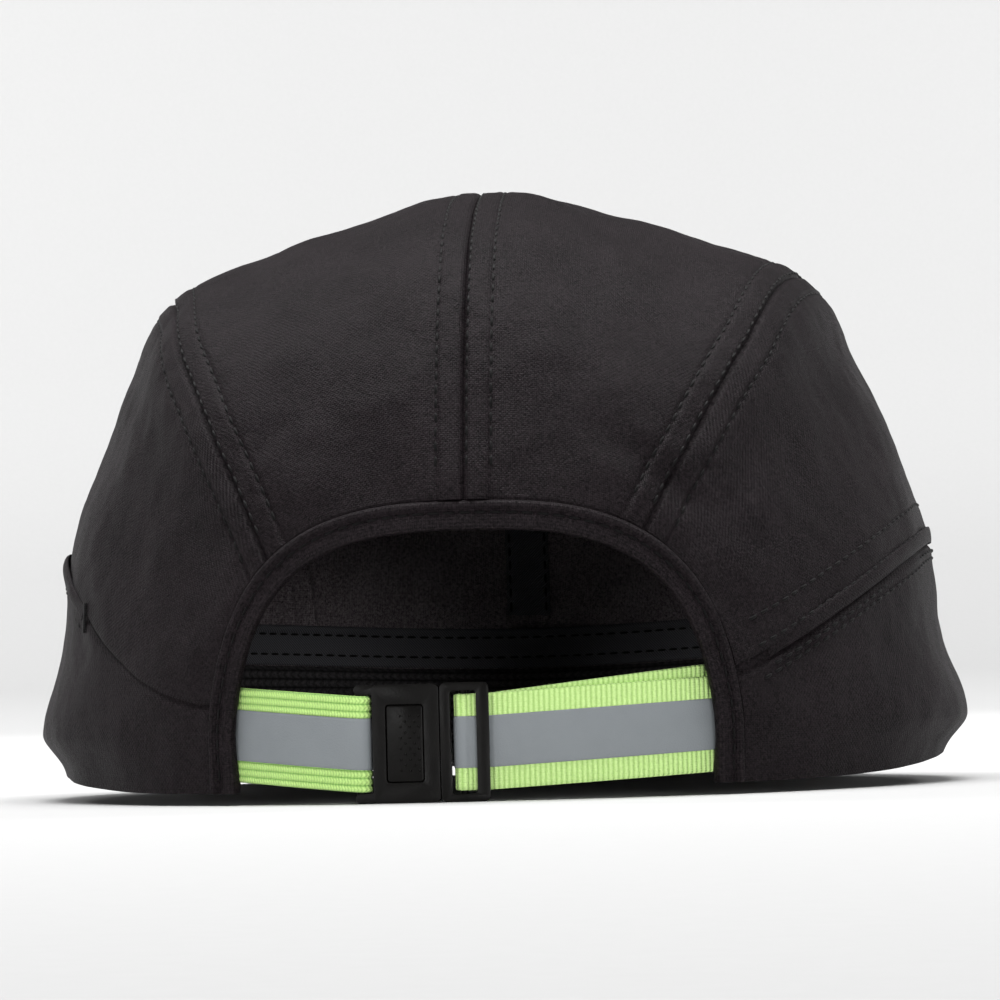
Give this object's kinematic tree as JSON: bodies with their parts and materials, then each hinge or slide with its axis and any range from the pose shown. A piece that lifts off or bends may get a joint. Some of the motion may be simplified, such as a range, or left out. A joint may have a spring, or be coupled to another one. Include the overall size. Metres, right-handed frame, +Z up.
{
  "type": "bump cap",
  "caption": "Fabric bump cap with a rear arch opening, hi-vis reflective strap, push-button buckle, short brim and a padded hard insert.",
  "frame": {"origin": "on the table plane, under the middle of the head opening", "axes": "+Z up, +Y towards the brim, +X towards the wearer's right side"},
  "size_m": [0.2062, 0.2628, 0.132],
  "materials": {
    "crown_cloth": "matte softshell weave",
    "black_twill": "cotton twill",
    "knit": "ribbed mesh knit",
    "lime_elastic": "braided elastic",
    "lime_webbing": "ribbed grosgrain",
    "reflective_tape": "retroreflective grey",
    "buckle_plastic": "fine moulded texture",
    "spring_steel": "bright",
    "brim_plastic": "plain sheet",
    "shell_plastic": "fine grain",
    "hook_and_loop": "hook and loop tape",
    "foam": "closed-cell foam"
  },
  "bodies": {
    "cap": {"top_panel_left": "crown_cloth", "top_panel_right": "crown_cloth", "side_panel_left": "crown_cloth", "side_panel_right": "crown_cloth", "lower_panel_left": "crown_cloth", "lower_panel_right": "crown_cloth", "arch_binding": "crown_cloth", "seam_tape_center": "black_twill", "seam_tape_left": "black_twill", "seam_tape_right": "black_twill", "sweatband_knit": "knit", "sweatband_facing": "black_twill", "pocket_welt_left": "crown_cloth", "pocket_welt_right": "crown_cloth", "bartacks": "black_twill", "brim_board": "brim_plastic", "brim_cover_top": "crown_cloth", "brim_cover_under": "crown_cloth", "brim_edge_piping": "crown_cloth", "elastic_strap": "lime_elastic", "elastic_reflective_tape": "reflective_tape", "webbing_strap": "lime_webbing", "webbing_reflective_tape": "reflective_tape", "buckle_housing": "buckle_plastic", "button_spring": "spring_steel", "loop_patches": "hook_and_loop"},
    "clip": {"buckle_clip": "buckle_plastic"},
    "button": {"release_button": "buckle_plastic"},
    "insert": {"insert_shell": "shell_plastic", "hook_patches": "hook_and_loop", "crown_pad": "foam", "front_pad": "foam", "rear_pad": "foam", "side_pad_left": "foam", "side_pad_right": "foam"}
  },
  "joints": [
    {"name": "clip_pull", "type": "slide", "parent": "cap", "child": "clip", "axis": [1, 0, 0], "range_m": [0, 0.014], "deforming": ["webbing_strap", "webbing_reflective_tape"]},
    {"name": "button_press", "type": "slide", "parent": "cap", "child": "button", "axis": [0, 1, 0], "range_m": [0, 0.0012], "stiffness_N_per_m": 700, "deforming": ["button_spring"]},
    {"name": "insert_drop", "type": "slide", "parent": "cap", "child": "insert", "axis": [0, 0, 1], "range_m": [-0.062, 0]}
  ]
}
